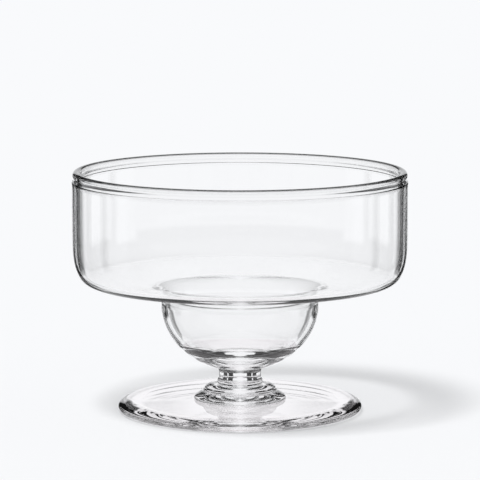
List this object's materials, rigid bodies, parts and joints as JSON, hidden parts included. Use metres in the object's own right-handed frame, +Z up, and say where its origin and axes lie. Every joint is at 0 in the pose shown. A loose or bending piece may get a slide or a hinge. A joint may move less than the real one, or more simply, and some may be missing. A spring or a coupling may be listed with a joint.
{
  "type": "cocktail glass",
  "caption": "Clear low cocktail glass: a wide straight-sided cup opening into a round well, on a short stem, two ring-shaped mereses and a thick round foot.",
  "frame": {"origin": "centre of the foot's resting ring, on the table", "axes": "+Z up along the axis that the glass was turned about; X and Y are alike"},
  "size_m": [0.1, 0.1, 0.0722],
  "materials": {
    "clear_glass": "fire-polished, clear and colourless"
  },
  "bodies": {
    "root": {"cup": "clear_glass", "well": "clear_glass", "stem": "clear_glass", "upper_merese": "clear_glass", "lower_merese": "clear_glass", "foot": "clear_glass"}
  },
  "joints": []
}
